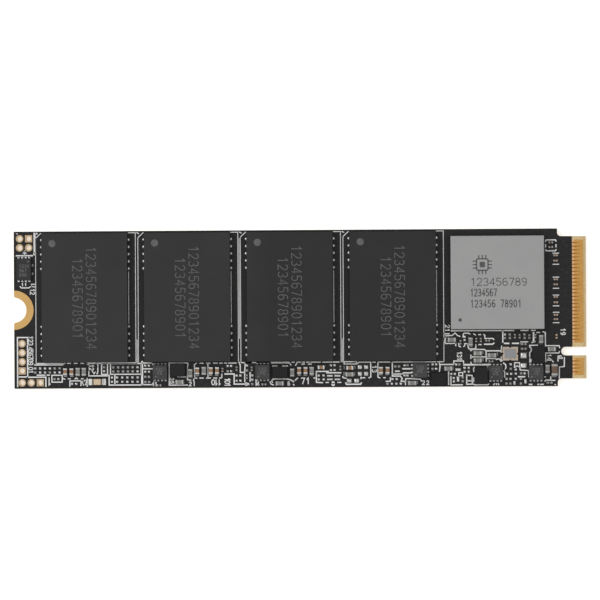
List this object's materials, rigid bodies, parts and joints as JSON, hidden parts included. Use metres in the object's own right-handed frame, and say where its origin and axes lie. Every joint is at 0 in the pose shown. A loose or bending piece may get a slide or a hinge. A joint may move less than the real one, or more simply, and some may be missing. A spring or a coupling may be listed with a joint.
{
  "type": "solid state drive",
  "caption": "Bare M.2 solid state drive card: long black circuit card with flash memory packages, a metal-topped controller, power parts, a half-round screw notch and a keyed edge connector.",
  "frame": {"origin": "centre of the half-round screw notch, at the card's underside", "axes": "+X along the card from the screw notch to the edge connector, +Y across the card towards contact 1 (the key slot is on the -Y side), +Z out of the component side"},
  "size_m": [0.08, 0.022, 0.0021],
  "materials": {
    "laminate": "satin",
    "solder_mask": "satin",
    "copper": "satin",
    "gold_plating": "polished",
    "tinned_copper": "satin",
    "solder": "polished",
    "mould_compound": "matte",
    "package_substrate": "satin",
    "silicon": "polished",
    "nickel_plate": "matte",
    "thermal_paste": "matte",
    "underfill": "gloss",
    "gold_wire": "polished",
    "brown_ceramic": "satin",
    "grey_ceramic": "satin",
    "chip_ceramic": "satin",
    "fuse_ceramic": "satin",
    "iron_powder": "matte",
    "crystal_ceramic": "satin",
    "quartz": "polished",
    "lid_metal": "satin",
    "conductive_adhesive": "matte"
  },
  "bodies": {
    "root": {"card_core": "laminate", "card_layer_top": "laminate", "card_layer_bottom": "laminate", "ground_plane": "copper", "supply_planes": "copper", "solder_mask_top": "solder_mask", "solder_mask_bottom": "solder_mask", "notch_plating": "gold_plating", "header_hole_platings": "gold_plating", "edge_contacts_top": "gold_plating", "edge_contacts_bottom": "gold_plating", "test_points": "gold_plating", "tinned_pads": "tinned_copper", "memory_side_pads": "tinned_copper", "memory_substrates": "package_substrate", "memory_mould_caps": "mould_compound", "memory_dies": "silicon", "memory_bond_wires": "gold_wire", "memory_solder_balls": "solder", "controller_substrate": "package_substrate", "controller_underfill": "underfill", "controller_die": "silicon", "controller_thermal_paste": "thermal_paste", "controller_lid": "nickel_plate", "controller_solder_balls": "solder", "boot_memory_body": "mould_compound", "boot_memory_leads": "tinned_copper", "boot_memory_paddle": "tinned_copper", "boot_memory_die": "silicon", "regulator_bodies": "mould_compound", "regulator_leads": "tinned_copper", "regulator_paddles": "tinned_copper", "regulator_dies": "silicon", "load_switch_body": "mould_compound", "load_switch_leads": "tinned_copper", "load_switch_paddle": "tinned_copper", "load_switch_die": "silicon", "bypass_capacitor_bodies": "brown_ceramic", "bypass_capacitor_terminals": "tinned_copper", "filter_capacitor_bodies": "grey_ceramic", "filter_capacitor_terminals": "tinned_copper", "small_chip_bodies": "chip_ceramic", "small_chip_terminals": "tinned_copper", "coupling_capacitor_bodies": "brown_ceramic", "coupling_capacitor_terminals": "tinned_copper", "bulk_capacitor_body": "brown_ceramic", "bulk_capacitor_terminals": "tinned_copper", "fuse_body": "fuse_ceramic", "fuse_element": "copper", "fuse_end_caps": "tinned_copper", "solder_fillets": "solder", "inductor_cores": "iron_powder", "inductor_coils": "copper", "inductor_terminals": "tinned_copper", "crystal_tray": "crystal_ceramic", "crystal_pads": "gold_plating", "crystal_bonds": "conductive_adhesive", "crystal_blank": "quartz", "crystal_lid": "lid_metal"}
  },
  "joints": []
}
